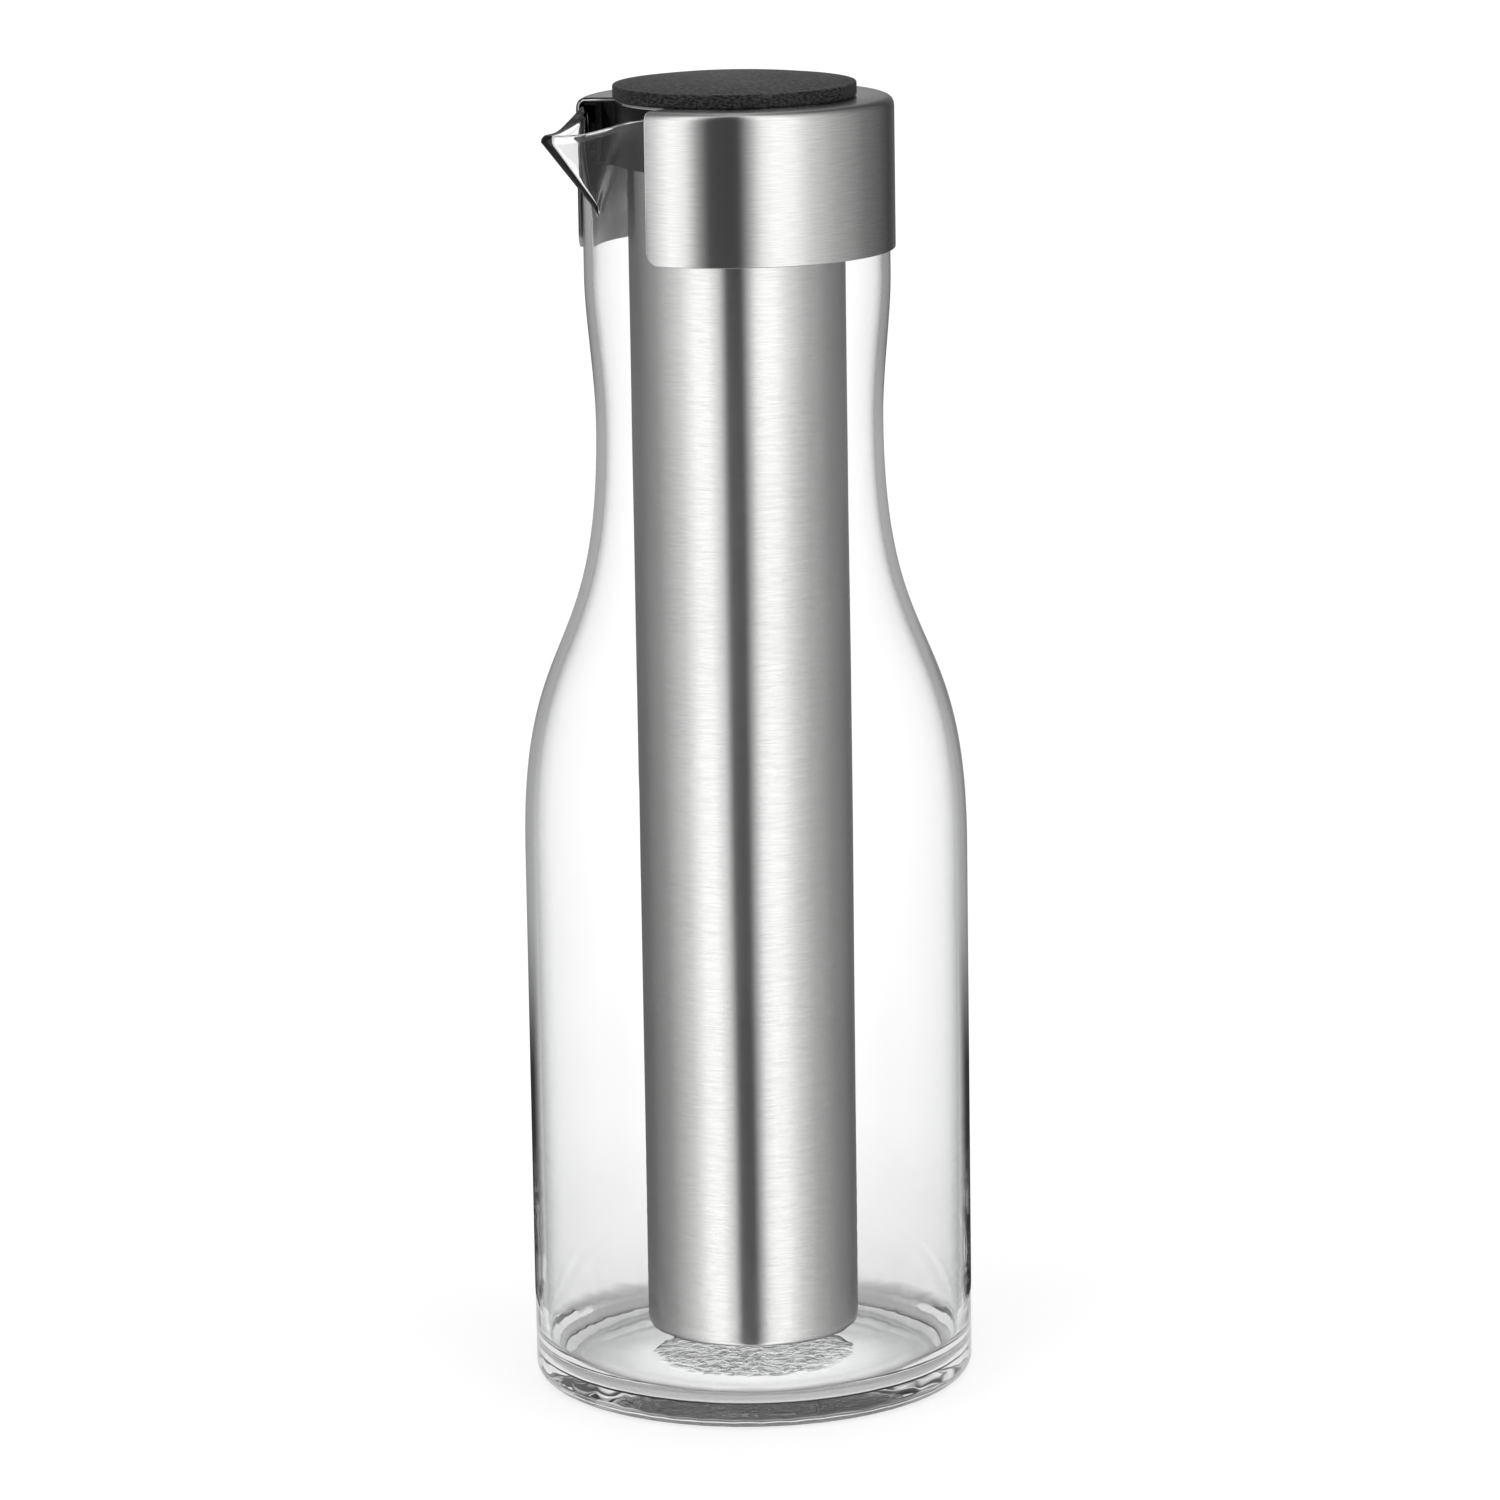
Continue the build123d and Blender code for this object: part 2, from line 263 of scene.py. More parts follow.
# Painted shade: the pits of the chilled patch turn the glass colour grey.
pit_shade = add(
    tree, "ShaderNodeMapRange", {"Value": pits.outputs["Fac"]},
    {"From Min": 0.41, "From Max": 0.49, "To Min": 0.75, "To Max": 0.0}, interpolation_type="SMOOTHSTEP")
painted_pit_shade = add(tree, "ShaderNodeMath", {0: pit_shade.outputs[0], 1: patch.outputs[0]}, operation="MULTIPLY")
clear_or_painted_pit_shade = add(
    tree, "ShaderNodeMix", {"Factor": painted_pit_shade.outputs[0], "A": painted_outline_shade.outputs["Color"]}, data_type="RGBA")
clear_or_painted_pit_shade.inputs["B"].default_value = linear("#606262")
body = add(
    tree, "ShaderNodeBsdfPrincipled",
    {"Base Color": clear_or_painted_pit_shade.outputs["Result"], "Roughness": rough.outputs[0],
     "Normal": pit_bump.outputs["Normal"]},
    {"IOR": 1.5, "Transmission Weight": 1.0})
tree.links.new(body.outputs[0], out.inputs["Surface"])
print("made", glass.name)


# %% [markdown]
# ## Brushed stainless steel
# Tube and collar are stainless steel, brushed as they turned, so fine scratches run round the axis. They spread a
# highlight up and down into long soft bands, which anisotropic reflection about a radial tangent gives. Noise that is
# drawn out round the axis adds the streaks themselves. Real scratches are a few hundredths of a millimetre apart,
# too fine to show here, so they are drawn a quarter of a millimetre apart.

# %% Steel finish
STREAK_MM = 0.25
STREAK_LENGTH_MM = 5.0


def brushed_steel(name, light_hex, dark_hex, roughness, spread):
    """Stainless steel brushed round the Z axis, on walls and on flat rings alike."""
    steel, tree, out = new_finish(name)
    where = add(tree, "ShaderNodeTexCoord")
    axes = add(tree, "ShaderNodeSeparateXYZ", {0: where.outputs["Object"]})
    flat = add(tree, "ShaderNodeCombineXYZ", {"X": axes.outputs["X"], "Y": axes.outputs["Y"]})
    radius = add(tree, "ShaderNodeVectorMath", {0: flat.outputs[0]}, operation="LENGTH")
    across = add(tree, "ShaderNodeMath", {0: axes.outputs["Z"], 1: radius.outputs["Value"]}, operation="ADD")
    across_scaled = add(
        tree, "ShaderNodeMath", {0: across.outputs[0]}, {1: STREAK_LENGTH_MM / STREAK_MM}, operation="MULTIPLY")
    drawn = add(
        tree, "ShaderNodeCombineXYZ",
        {"X": axes.outputs["X"], "Y": axes.outputs["Y"], "Z": across_scaled.outputs[0]})
    streaks = add(
        tree, "ShaderNodeTexNoise", {"Vector": drawn.outputs[0]},
        {"Scale": 1 / (STREAK_LENGTH_MM * MM), "Detail": 3.0, "Roughness": 0.6})
    colour = add(tree, "ShaderNodeValToRGB", {"Fac": streaks.outputs["Fac"]})
    colour.color_ramp.elements[0].position = 0.3
    colour.color_ramp.elements[0].color = linear(dark_hex)
    colour.color_ramp.elements[1].position = 0.7
    colour.color_ramp.elements[1].color = linear(light_hex)
    rough = add(
        tree, "ShaderNodeMapRange", {"Value": streaks.outputs["Fac"]},
        {"From Min": 0.3, "From Max": 0.7, "To Min": roughness + spread, "To Max": roughness - spread})
    bump = add(
        tree, "ShaderNodeBump", {"Height": streaks.outputs["Fac"]}, {"Strength": 0.035, "Distance": 0.05 * MM})
    tangent = add(tree, "ShaderNodeTangent", direction_type="RADIAL", axis="Z")
    body = add(
        tree, "ShaderNodeBsdfPrincipled",
        {"Base Color": colour.outputs["Color"], "Roughness": rough.outputs[0], "Normal": bump.outputs["Normal"],
         "Tangent": tangent.outputs[0]},
        {"Metallic": 1.0, "Anisotropic": 0.9, "Anisotropic Rotation": 0.25})
    tree.links.new(body.outputs[0], out.inputs["Surface"])
    print("made", name)
    return steel


# Long soft bands of light, a little brighter on the tube than on the collar.
tube_steel = brushed_steel("brushed_stainless_tube", "#DCDCDB", "#D0D0CF", 0.23, 0.03)
collar_steel = brushed_steel("brushed_stainless_collar", "#DADAD9", "#CDCDCC", 0.24, 0.03)


# %% [markdown]
# ## Matt black plastics and silicone
# The lid is ABS with a soft matt paint: black, with a grain so fine that it only breaks up the highlights. The insert
# and the stopper are plain moulded ABS, a little smoother. The seals are black silicone, which is soft and satin.
# One function makes all three, since they differ in colour, grain size and gloss and not in kind. The lid's real grain
# is about a third of a millimetre, too fine to show here, so it is drawn at nearly one.

# %% Black finishes
def moulded_black(name, light_hex, dark_hex, grain_mm, relief_mm, roughness, gloss, sheen):
    """A black moulded finish with a fine grain and slight cloudiness."""
    black, tree, out = new_finish(name)
    where = add(tree, "ShaderNodeTexCoord")
    flatter = add(
        tree, "ShaderNodeVectorMath", {0: where.outputs["Object"]}, {1: (1.0, 1.0, 2.2)}, operation="MULTIPLY")
    grain = add(
        tree, "ShaderNodeTexNoise", {"Vector": flatter.outputs[0]},
        {"Scale": 1 / (grain_mm * MM), "Detail": 2.0, "Roughness": 0.6})
    cloud = add(
        tree, "ShaderNodeTexNoise", {"Vector": where.outputs["Object"]}, {"Scale": 1 / (12 * MM), "Detail": 3.0})
    both = add(
        tree, "ShaderNodeMath", {0: cloud.outputs["Fac"], 2: grain.outputs["Fac"]}, {1: 0.12},
        operation="MULTIPLY_ADD")
    colour = add(tree, "ShaderNodeValToRGB", {"Fac": both.outputs[0]})
    colour.color_ramp.elements[0].position = 0.46
    colour.color_ramp.elements[0].color = linear(dark_hex)
    colour.color_ramp.elements[1].position = 0.68
    colour.color_ramp.elements[1].color = linear(light_hex)
    rough = add(
        tree, "ShaderNodeMapRange", {"Value": cloud.outputs["Fac"]},
        {"From Min": 0.3, "From Max": 0.7, "To Min": roughness - 0.04, "To Max": roughness + 0.04})
    bump = add(
        tree, "ShaderNodeBump", {"Height": grain.outputs["Fac"]}, {"Strength": 0.5, "Distance": relief_mm * MM})
    body = add(
        tree, "ShaderNodeBsdfPrincipled",
        {"Base Color": colour.outputs["Color"], "Roughness": rough.outputs[0], "Normal": bump.outputs["Normal"]},
        {"IOR": 1.5, "Specular IOR Level": gloss, "Sheen Weight": sheen, "Sheen Roughness": 0.5})
    tree.links.new(body.outputs[0], out.inputs["Surface"])
    print("made", name)
    return black


# The lid reads as speckled charcoal, the insert as plain deep black, the silicone as satin.
lid_black = moulded_black("soft_matt_abs_lid", "#404041", "#0A0A0B", 0.9, 0.3, 0.5, 0.22, 0.05)
insert_black = moulded_black("moulded_abs_insert", "#121213", "#0A0A0B", 0.7, 0.05, 0.42, 0.2, 0.0)
silicone = moulded_black("black_silicone", "#18181A", "#101011", 1.1, 0.04, 0.55, 0.25, 0.03)


# %% [markdown]
# ## The glass carafe
# The outside follows the CAD outline: a rounded heel, a straight wall, a shoulder that sweeps into a waist and flares
# to the neck. The inside is a second outline one wall further in. The lip is pinched from the hot rim, so it is drawn
# as a V in plan that leans out from a foot on the neck. Each ring of the neck takes whichever is further out, the
# round wall or the V, with a soft blend between them, and the rim dips towards the tip.

# %% Glass outlines
heel, foot_width, punt = 3.5, 7.0, 0.8
wall_body, wall_waist, wall_neck = 2.6, 2.0, 1.8
floor_height, floor_corner = 4.2, 8.0
shoulder_z, shoulder_pull, waist_z, waist_pull = 123.0, 52.5, 219.9, 56.3
neck_z, flare_pull, neck_pull = 252.5, 11.0, 9.0
neck_bore = seal_flange_radius + 0.8 - wall_neck
neck_radius = neck_bore + wall_neck
waist_bore = neck_bore - 2.2
waist_radius = waist_bore + wall_waist
lip_zone = 262.0


def side_wall(radius, waist, neck):
    """The shoulder, waist and flare of one skin of the glass, from bottom to top."""
    shoulder = bezier(
        [(radius, shoulder_z), (radius, shoulder_z + shoulder_pull), (waist, waist_z - waist_pull),
         (waist, waist_z)], 46)
    flare = bezier(
        [(waist, waist_z), (waist, waist_z + flare_pull), (neck, neck_z - neck_pull), (neck, neck_z)], 20)
    return np.vstack([shoulder, flare[1:]])


foot_radius = body_radius - heel
foot_inner = foot_radius - foot_width
quarter = np.linspace(0, math.pi / 2, 12)
outer_skin = np.vstack([
    bezier([(0, punt), (foot_inner / 2, punt), (foot_inner, 0)], 14)[1:],
    [(foot_radius - 2, 0)],
    [(foot_radius + heel * math.sin(a), heel * (1 - math.cos(a))) for a in quarter],
    [(body_radius, z) for z in (8, 20, 45, 75, 105)],
    side_wall(body_radius, waist_radius, neck_radius),
    [(neck_radius, lip_zone)],
])
body_bore = body_radius - wall_body
corner_centre = body_bore - floor_corner
inner_skin = np.vstack([
    [(r, floor_height) for r in (6, 14, 22, 30, 36)],
    [(corner_centre + floor_corner * math.sin(a), floor_height + floor_corner * (1 - math.cos(a)))
     for a in quarter],
    [(body_bore, z) for z in (20, 45, 75, 105)],
    side_wall(body_bore, waist_bore, neck_bore),
    [(neck_bore, lip_zone)],
])
print("outer rows", len(outer_skin), "inner rows", len(inner_skin), "neck radius", round(neck_radius, 2))

# %% [markdown]
# ## The pouring lip
# The glassmaker pulls the lip out of the soft rim with a hook. It ends in a rounded nose, so that the stream breaks off
# cleanly. Two numbers say how far it leans out, the next how wide and how round it is, low down and at the rim.

# %% Pouring lip
lip_overhang, lip_drop, lip_height, lip_root = 14.8, 5.6, 22.5, 28.0
lip_half_low, lip_half_top, lip_nose_low, lip_nose_top, lip_wall = 1.5, 17.5, 0.4, 3.0, 2.6
lip_foot = rim_z - lip_height
lip_low = lip_foot - wall_neck
lip_lean = lip_overhang / (lip_height - lip_drop)
rim_dip = bezier([(27.0, rim_z), (35.5, rim_z), (38.5, rim_z - 4.7), (47.5, rim_z - 4.3)], 60)


def lip_radius(angle, height, round_wall, thinner):
    """Radius of one skin of the neck at an angle from the lip, in radians, and a height."""
    rise = max((height - lip_low) / (rim_z - lip_low), 0.0)
    tip = neck_radius + lip_lean * (height - lip_foot)
    if rise <= 0 or abs(angle) > math.radians(62):
        return round_wall
    spread = math.atan2(lip_half_low + (lip_half_top - lip_half_low) * rise, tip - lip_root)
    tip -= thinner * (0.25 + 0.75 * rise) / math.sin(spread)
    nose = (lip_nose_low + (lip_nose_top - lip_nose_low) * rise) * (0.4 if thinner else 1.0)
    centre = tip - nose / math.sin(spread)
    a = abs(angle)
    if a < math.atan2(nose * math.cos(spread), centre + nose * math.sin(spread)):
        beak = centre * math.cos(a) + math.sqrt(nose ** 2 - (centre * math.sin(a)) ** 2)
    else:
        beak = tip * math.sin(spread) / math.sin(spread + a)
    fade = min(max((math.radians(62) - a) / math.radians(22), 0.0), 1.0) * min(rise * 3, 1.0)
    soft = 1.3 * fade
    return 0.5 * (round_wall + beak + math.sqrt((round_wall - beak) ** 2 + soft ** 2))


def rim_height(angle):
    """Height of the rim at an angle from the lip: it dips as the lip reaches out."""
    height = rim_z
    for _ in range(12):
        reach = lip_radius(angle, height, neck_radius, 0) * math.cos(angle)
        height = float(np.interp(reach, rim_dip[:, 0], rim_dip[:, 1], left=rim_z))
    return height


tip_height = rim_height(0.0)
print("lip tip at radius", round(lip_radius(0.0, tip_height, neck_radius, 0), 2), "height", round(tip_height, 2))

# %% [markdown]
# ## One glass mesh
# Outer skin, rounded rim and inner skin make one closed outline, which is swept round the axis. Columns are closer
# near the lip, where the form changes fast. Blown glass is never quite even, so seeded waves of a few hundredths of a
# millimetre go into the wall, and the mould's ripples into the heel.

# %% Glass mesh
RIM_ROUND, TIP_ROUND = 1.1, 1.6
RIM_STEPS = 9
ZONE_ROWS = 34
near = np.concatenate([np.arange(0, 6, 0.25), np.arange(6, 36, 0.5), np.arange(36, 180, 1.0)])
glass_angles = np.radians(np.concatenate([-near[:0:-1], near, [180.0]]))
rng = np.random.default_rng(7)
waves = [(rng.integers(2, 6), rng.uniform(0.01, 0.05), rng.uniform(0, 6.28)) for _ in range(6)]
ripples = [(rng.integers(7, 38), rng.uniform(-0.9, 0.9), rng.uniform(0, 6.28)) for _ in range(7)]


def wall_wave(angle, height):
    """The slight unevenness of a blown wall, in millimetres, fading out towards floor and neck."""
    fade = min(max((height - 14) / 20, 0), 1) * min(max((240 - height) / 40, 0), 1)
    return 0.02 * fade * sum(math.sin(k * angle + m * height + p) for k, m, p in waves)


def heel_wave(angle, height):
    """Ripples that the mould leaves in the heel, in millimetres."""
    fade = min(max((12 - height) / 8, 0), 1)
    return 0.03 * fade * sum(math.sin(k * angle + m * height + p) for k, m, p in ripples)


rows = []
for angle in glass_angles:
    bead = RIM_ROUND + (TIP_ROUND - RIM_ROUND) * max(0.0, 1 - abs(angle) / math.radians(12))
    top = rim_height(angle) - bead
    levels = np.linspace(lip_zone, top, ZONE_ROWS)[1:]
    outer_zone = [(lip_radius(angle, z, neck_radius, 0), z) for z in levels]
    inner_zone = [(lip_radius(angle, z, neck_bore, lip_wall), z) for z in levels]
    ro, ri = outer_zone[-1][0], inner_zone[-1][0]
    rim = [((ro + ri) / 2 + (ro - ri) / 2 * math.cos(t), top + bead * math.sin(t))
           for t in np.linspace(0, math.pi, RIM_STEPS)[1:-1]]
    inner = [(r + wall_wave(angle, z), z) for r, z in inner_skin]
    outer = [(r - abs(heel_wave(angle, z)) if r > foot_inner else r, z) for r, z in outer_skin]
    rows.append(outer + [tuple(p) for p in outer_zone] + rim + inner_zone[::-1] + inner[::-1])
grid = np.array(rows, float)
columns, count = grid.shape[:2]
points = np.empty((columns, count, 3))
points[:, :, 0] = -np.cos(glass_angles)[:, None] * grid[:, :, 0]
points[:, :, 1] = -np.sin(glass_angles)[:, None] * grid[:, :, 0]
points[:, :, 2] = grid[:, :, 1]
vertices = np.vstack([points.reshape(-1, 3), [(0, 0, punt), (0, 0, floor_height)]])
under_pole, floor_pole = columns * count, columns * count + 1
faces = []
for c in range(columns):
    d = (c + 1) % columns
    faces += [[c * count + r, d * count + r, d * count + r + 1, c * count + r + 1] for r in range(count - 1)]
    faces.append([under_pole, d * count, c * count])
    faces.append([floor_pole, c * count + count - 1, d * count + count - 1])
carafe = to_object(
    "carafe_glass", vertices, faces, "carafe", glass, ["glass_body", "glass_neck"])
carafe.visible_shadow = False

# %% [markdown]
# ## The ice tube and its base
# The tube is rolled from thin sheet, welded and brushed, with a small flange at its mouth and a pressed dish welded
# into its lower end. Both are plain turnings with rounded edges, hollow like the real ones.

# %% Tube and base
tube_bore = tube_radius - 0.6
tube_outline = rounded([
    (tube_radius, 150, 0), (tube_radius, plate_under - 0.6, 0.5), (flange_radius, plate_under - 0.6, 0.15),
    (flange_radius, plate_under, 0.15), (tube_bore, plate_under, 0.2), (tube_bore, weld_z, 0.05),
    (tube_radius, weld_z, 0.02), (tube_radius, 149, 0)])
tube_points, tube_faces = turned(tube_outline, ALL_ROUND, True)
tube = to_object(
    "ice_tube_wall", tube_points, tube_faces, "ice_core", tube_steel, ["ice_tube"])
spigot = tube_bore - 0.02
base_outline = rounded([
    (0, tube_low, 0), (tube_radius, tube_low, 1.9), (tube_radius, weld_z, 0.02), (spigot, weld_z, 0.05),
    (spigot, spigot_top, 0.1), (spigot - 0.8, spigot_top, 0.1), (spigot - 0.8, tube_low + 0.8, 2.0),
    (0, tube_low + 0.8, 0)], 10)
base_points, base_faces = turned(base_outline, ALL_ROUND, False)
base = to_object(
    "ice_tube_base", base_points, base_faces, "ice_core", tube_steel, ["tube_base"])

# %% [markdown]
# ## The collar
# The collar is drawn from one steel sheet: a band with a rounded shoulder and a flat top. It is open over the lip,
# and its two lower corners are rounded off there, so the band's lower edge is lifted near its ends by the rounding.
# A narrow bridge of the flat top runs on round the mouth of the tube.

# %% Collar
window, corner_round, sheet, bend = 30.4, 3.0, 0.7, 2.5
bridge_radius = flange_radius + 1.0
band_angles = np.concatenate([
    window + np.linspace(0, 6, 19), np.linspace(window + 7, 353 - window, 180), 360 - window - np.linspace(6, 0, 19)])
band_outline = rounded([
    (collar_radius, 276, 0), (collar_radius, collar_top, bend), (tube_bore, collar_top, 0.2),
    (tube_bore, plate_under, 0.2), (collar_radius - sheet, plate_under, bend - sheet),
    (collar_radius - sheet, collar_low, 0.25), (collar_radius, collar_low, 0.25), (collar_radius, 275, 0)], 9)
band_points, band_faces = turned(band_outline, band_angles, True)
turn = np.degrees(np.arctan2(-band_points[:, 1], -band_points[:, 0])) % 360
from_end = np.minimum(turn - window, 360 - window - turn) * math.pi / 180 * collar_radius
inside_corner = np.clip(corner_round - from_end, 0, corner_round)
lift = corner_round - np.sqrt(corner_round ** 2 - inside_corner ** 2)
share = np.clip((collar_top - bend - band_points[:, 2]) / (collar_top - bend - collar_low), 0, 1)
band_points[:, 2] += lift * share
bridge_outline = rounded([
    (tube_bore + 0.6, collar_top, 0), (tube_bore, collar_top, 0.2), (tube_bore, plate_under, 0.2),
    (bridge_radius, plate_under, 0.2), (bridge_radius, collar_top, 0.2), (tube_bore + 0.7, collar_top, 0)])
bridge_points, bridge_faces = turned(bridge_outline, np.linspace(-window, window, 41), True)
both_faces = band_faces + [[i + len(band_points) for i in face] for face in bridge_faces]
collar = to_object(
    "steel_collar", np.vstack([band_points, bridge_points]), both_faces, "ice_core",
    collar_steel, ["collar"])

# %% [markdown]
# ## Insert and seals
# The insert is a moulded ring that fills the neck round the tube, cut back at the lip to let the drink out. The
# seals are soft rings with thin lips. They hide inside, but they show when the core is lifted out, so they are
# turned with rounded edges too.

# %% Insert and neck seal
channel = 28.0
insert_radius = insert_lip_radius - 1.9
insert_bore = tube_radius + 0.05
seal_round = np.linspace(channel, 360 - channel, 181)
insert_full = rounded([
    (insert_bore, 284, 0), (insert_bore, insert_low, 0.4), (insert_lip_radius, insert_low, 0.5),
    (insert_lip_radius, seal_low, 0.4), (insert_radius, seal_low, 0.1), (insert_radius, plate_under, 0.1),
    (flange_radius + 0.05, plate_under, 0.1), (flange_radius + 0.05, plate_under - 0.6, 0.05),
    (insert_bore, plate_under - 0.6, 0.05), (insert_bore, 285, 0)])
insert_cut = rounded([
    (insert_bore, 284, 0), (insert_bore, insert_low, 0.4), (bridge_radius, insert_low, 0.5),
    (bridge_radius, plate_under, 0.1), (flange_radius + 0.05, plate_under, 0.1),
    (flange_radius + 0.05, plate_under - 0.6, 0.05), (insert_bore, plate_under - 0.6, 0.05), (insert_bore, 285, 0)])
full_points, full_faces = turned(insert_full, seal_round, True)
cut_points, cut_faces = turned(insert_cut, np.linspace(-channel, channel, 41), True)
insert_faces = full_faces + [[i + len(full_points) for i in face] for face in cut_faces]
insert = to_object(
    "neck_insert_ring", np.vstack([full_points, cut_points]), insert_faces, "ice_core", insert_black,
    ["neck_insert"])
seal_bore = insert_radius + 0.05
sleeve, lip_edge = seal_bore + 1.4, neck_bore - 0.3
seal_corners = [(seal_bore, seal_low + 2, 0), (seal_bore, seal_low, 0.2), (sleeve, seal_low, 0.3)]
for low in (seal_low + 1.2, seal_low + 5.8):
    seal_corners += [(sleeve, low, 0.2), (lip_edge, low, 0.3), (lip_edge, low + 1.2, 0.3), (sleeve, low + 1.2, 0.2)]
seal_corners += [
    (sleeve, rim_z, 0.2), (seal_flange_radius, rim_z, 0.1), (seal_flange_radius, plate_under - 0.35, 0.1),
    (collar_radius - bend, plate_under, 0.1), (seal_bore, plate_under, 0.1), (seal_bore, seal_low + 3, 0)]
seal_points, seal_faces = turned(rounded(seal_corners), seal_round, True)
seal = to_object(
    "neck_seal_sleeve", seal_points, seal_faces, "ice_core", silicone, ["neck_seal"])

# %% [markdown]
# ## The lid
# A low domed disc with a crisp rim sits on a thin foot, so a dark line shows under it. Below it, a hollow stopper with
# a silicone ring goes into the tube.

# %% Lid cap, stopper and seal
lid_edge_z = lid_under + 2.9
cap_spigot = stopper_radius - 1.65
cap_low = rounded([
    (0, lid_under, 0), (cap_spigot - 1.6, lid_under, 0.3), (cap_spigot - 1.6, spigot_low, 0.3),
    (cap_spigot, spigot_low, 0.3), (cap_spigot, lid_under, 0.2), (bridge_radius - 1.2, lid_under, 0.1),
    (bridge_radius - 1.2, collar_top, 0.1), (bridge_radius, collar_top, 0.1), (bridge_radius, lid_under, 0.1),
    (lid_radius, lid_under, 0.35), (lid_radius, lid_edge_z, 0.4), (lid_radius - 1.0, lid_edge_z + 0.08, 0)])
dome = bezier([(lid_radius - 1.0, lid_edge_z + 0.08), (lid_radius / 2, lid_top), (0, lid_top)], 24)
cap_points, cap_faces = turned(np.vstack([cap_low, dome[1:]]), ALL_ROUND, False)
cap = to_object("lid_disc", cap_points, cap_faces, "lid", lid_black, ["lid_cap"])
groove = stopper_radius - 0.8
stopper_outline = rounded([
    (0, stopper_low, 0), (stopper_radius, stopper_low, 0.8), (stopper_radius, lid_seal_low, 0.15),
    (groove, lid_seal_low, 0.1), (groove, lid_seal_high, 0.1), (stopper_radius, lid_seal_high, 0.15),
    (stopper_radius, lid_under, 0.1), (stopper_radius - 1.6, lid_under, 0.1),
    (stopper_radius - 1.6, stopper_low + 1.6, 0.5), (0, stopper_low + 1.6, 0)])
stopper_points, stopper_faces = turned(stopper_outline, ALL_ROUND, False)
stopper = to_object(
    "lid_stopper_cup", stopper_points, stopper_faces, "lid", insert_black, ["lid_stopper"])
ring = groove + 1.0
lid_seal_outline = rounded([
    (groove, lid_seal_low + 4, 0), (groove, lid_seal_low, 0.1), (lid_lip_radius, lid_seal_low, 0.3),
    (lid_lip_radius, lid_seal_low + 1.2, 0.3), (ring, lid_seal_low + 1.2, 0.2), (ring, lid_seal_high - 1.2, 0.2),
    (lid_lip_radius, lid_seal_high - 1.2, 0.3), (lid_lip_radius, lid_seal_high, 0.3), (groove, lid_seal_high, 0.1),
    (groove, lid_seal_low + 4.5, 0)])
ring_points, ring_faces = turned(lid_seal_outline, ALL_ROUND, True)
lid_ring = to_object(
    "lid_seal_ring", ring_points, ring_faces, "lid", silicone, ["lid_seal"])

# %% [markdown]
# ## The studio
# The floor is a wide pale sheet. Part of its white is its own, shown to the camera and to mirror and glass rays, and
# part is lit, so that a soft shadow stays. Glass gathers light under itself, so into the floor's own glow, as seen
# through the glass, light and shade are painted: a painted pool of light in the middle, a painted dark ring of shadow
# under the heel, and painted shade that pales outwards.

# %% Floor
# Painted light and shade: levels of the floor's own glow by distance from the axis, for rays through glass.
PAINTED_LIGHT_POOL = (
    (0.022, 1.05), (0.034, 0.55), (0.043, 0.04), (0.053, 0.04), (0.068, 0.42), (0.13, 0.49), (0.24, 0.58),
    (0.40, 0.63), (0.60, 0.66))
PAPER = 0.55
floor_mesh = bpy.data.meshes.new("studio_floor")
floor_mesh.from_pydata([(-12, -12, 0), (12, -12, 0), (12, 12, 0), (-12, 12, 0)], [], [[0, 1, 2, 3]])
floor = bpy.data.objects.new("studio_floor", floor_mesh)
bpy.context.scene.collection.objects.link(floor)
paper, tree, out = new_finish("white_paper_floor")
seen = add(tree, "ShaderNodeLightPath")
seen_by = add(
    tree, "ShaderNodeMath", {0: seen.outputs["Is Camera Ray"], 1: seen.outputs["Is Glossy Ray"]},
    operation="MAXIMUM")
seen_all = add(
    tree, "ShaderNodeMath", {0: seen_by.outputs[0], 1: seen.outputs["Is Transmission Ray"]}, operation="MAXIMUM")
where = add(tree, "ShaderNodeTexCoord")
away = add(tree, "ShaderNodeVectorMath", {0: where.outputs["Object"]}, operation="LENGTH")
painted_light_pool = add(tree, "ShaderNodeValToRGB", {"Fac": away.outputs["Value"]})
painted_light_pool.color_ramp.interpolation = "EASE"
for position, level in PAINTED_LIGHT_POOL:
    painted_light_pool.color_ramp.elements.new(position).color = (level, level, level, 1)
painted_light_pool.color_ramp.elements.remove(painted_light_pool.color_ramp.elements[0])
painted_light_pool.color_ramp.elements.remove(painted_light_pool.color_ramp.elements[-1])
# Rays through glass see the painted pool and shade; all other rays see the plain paper level.
paper_or_painted_pool = add(
    tree, "ShaderNodeMix", {"Factor": seen.outputs["Is Transmission Ray"], "B": painted_light_pool.outputs["Color"]},
    {"A": PAPER}, data_type="FLOAT")
own = add(tree, "ShaderNodeMath", {0: seen_all.outputs[0], 1: paper_or_painted_pool.outputs[0]}, operation="MULTIPLY")
lit = add(tree, "ShaderNodeBsdfDiffuse", values={"Color": (PAPER, PAPER, PAPER, 1)})
glow = add(tree, "ShaderNodeEmission", {"Strength": own.outputs[0]}, {"Color": (1, 1, 1, 1)})
paper_sum = add(tree, "ShaderNodeAddShader", {0: lit.outputs[0], 1: glow.outputs[0]})
